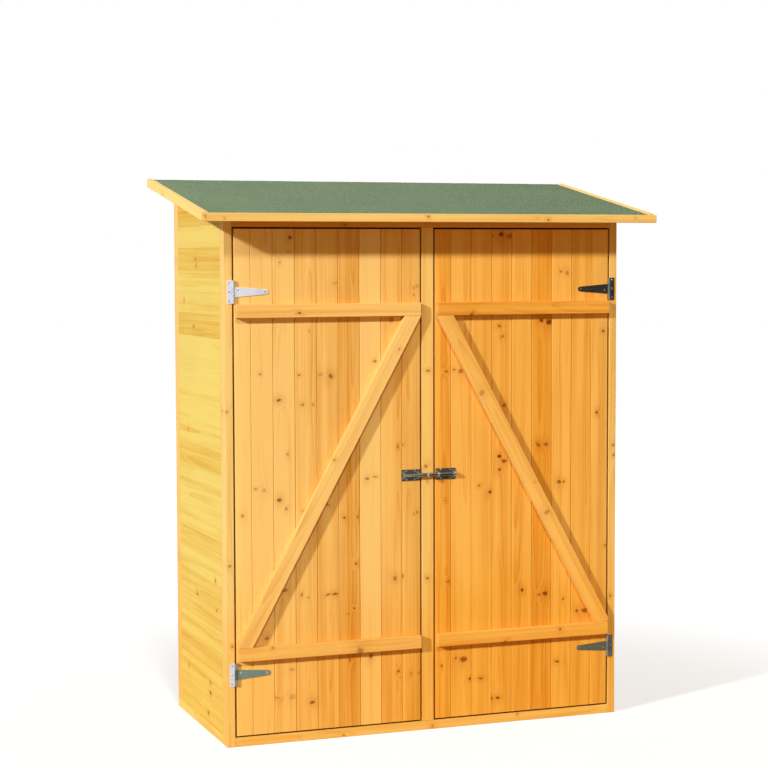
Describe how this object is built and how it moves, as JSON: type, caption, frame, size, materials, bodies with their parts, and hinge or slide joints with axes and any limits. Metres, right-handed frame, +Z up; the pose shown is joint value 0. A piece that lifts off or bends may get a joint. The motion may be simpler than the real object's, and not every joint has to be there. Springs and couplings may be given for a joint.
{
  "type": "wooden tool shed",
  "caption": "Small lean-to tool shed of pine boards, with two braced front doors on strap hinges, a sliding bolt and a felted roof.",
  "frame": {"origin": "on the ground, under the middle of the whole outline", "axes": "+X to the right along the front as seen from the front, +Y to the back, +Z up"},
  "size_m": [1.39, 0.657, 1.629],
  "materials": {
    "frame_timber": "planed pine with a clear honey stain",
    "wall_boards": "planed pine boards with a clear honey stain",
    "door_boards": "planed pine boards with a warm orange stain",
    "door_ledges": "planed pine with a warm orange stain",
    "roof_edge_timber": "planed pine with a clear honey stain",
    "roof_felt": "bitumen felt with green mineral grit",
    "zinc_hinge": "zinc-plated pressed steel",
    "bolt_steel": "zinc-plated steel, slightly dulled",
    "bolt_rod_steel": "bright zinc-plated steel rod"
  },
  "bodies": {
    "shed": {"front_left_post": "frame_timber", "front_right_post": "frame_timber", "back_left_post": "frame_timber", "back_right_post": "frame_timber", "front_sill": "frame_timber", "back_sill": "frame_timber", "left_sill": "frame_timber", "right_sill": "frame_timber", "mullion": "frame_timber", "lintel": "frame_timber", "left_top_rail": "frame_timber", "right_top_rail": "frame_timber", "back_top_rail": "frame_timber", "back_batten": "frame_timber", "rafters": "frame_timber", "floor_bearers": "frame_timber", "left_wall": "wall_boards", "right_wall": "wall_boards", "back_wall": "wall_boards", "floor_boards": "wall_boards", "roof_boards": "wall_boards", "roof_felt": "roof_felt", "left_barge_board": "roof_edge_timber", "right_barge_board": "roof_edge_timber", "fascia_board": "roof_edge_timber", "left_upper_hinge_plate": "zinc_hinge", "left_lower_hinge_plate": "zinc_hinge", "right_upper_hinge_plate": "zinc_hinge", "right_lower_hinge_plate": "zinc_hinge"},
    "left_door": {"left_door_boards": "door_boards", "left_door_top_ledge": "door_ledges", "left_door_bottom_ledge": "door_ledges", "left_door_brace": "door_ledges", "left_upper_hinge_strap": "zinc_hinge", "left_lower_hinge_strap": "zinc_hinge", "bolt_plate": "bolt_steel"},
    "right_door": {"right_door_boards": "door_boards", "right_door_top_ledge": "door_ledges", "right_door_bottom_ledge": "door_ledges", "right_door_brace": "door_ledges", "right_upper_hinge_strap": "zinc_hinge", "right_lower_hinge_strap": "zinc_hinge", "keeper_plate": "bolt_steel"},
    "bolt": {"bolt_rod": "bolt_rod_steel"}
  },
  "joints": [
    {"name": "left_door_hinge", "type": "hinge", "parent": "shed", "child": "left_door", "pos_m": [-0.5855, -0.235, 0.748], "axis": [0, 0, -1], "range_deg": [0, 100]},
    {"name": "right_door_hinge", "type": "hinge", "parent": "shed", "child": "right_door", "pos_m": [0.5855, -0.235, 0.748], "axis": [0, 0, 1], "range_deg": [0, 100]},
    {"name": "bolt_slide", "type": "slide", "parent": "left_door", "child": "bolt", "axis": [-1, 0, 0], "range_m": [0, 0.075]}
  ]
}
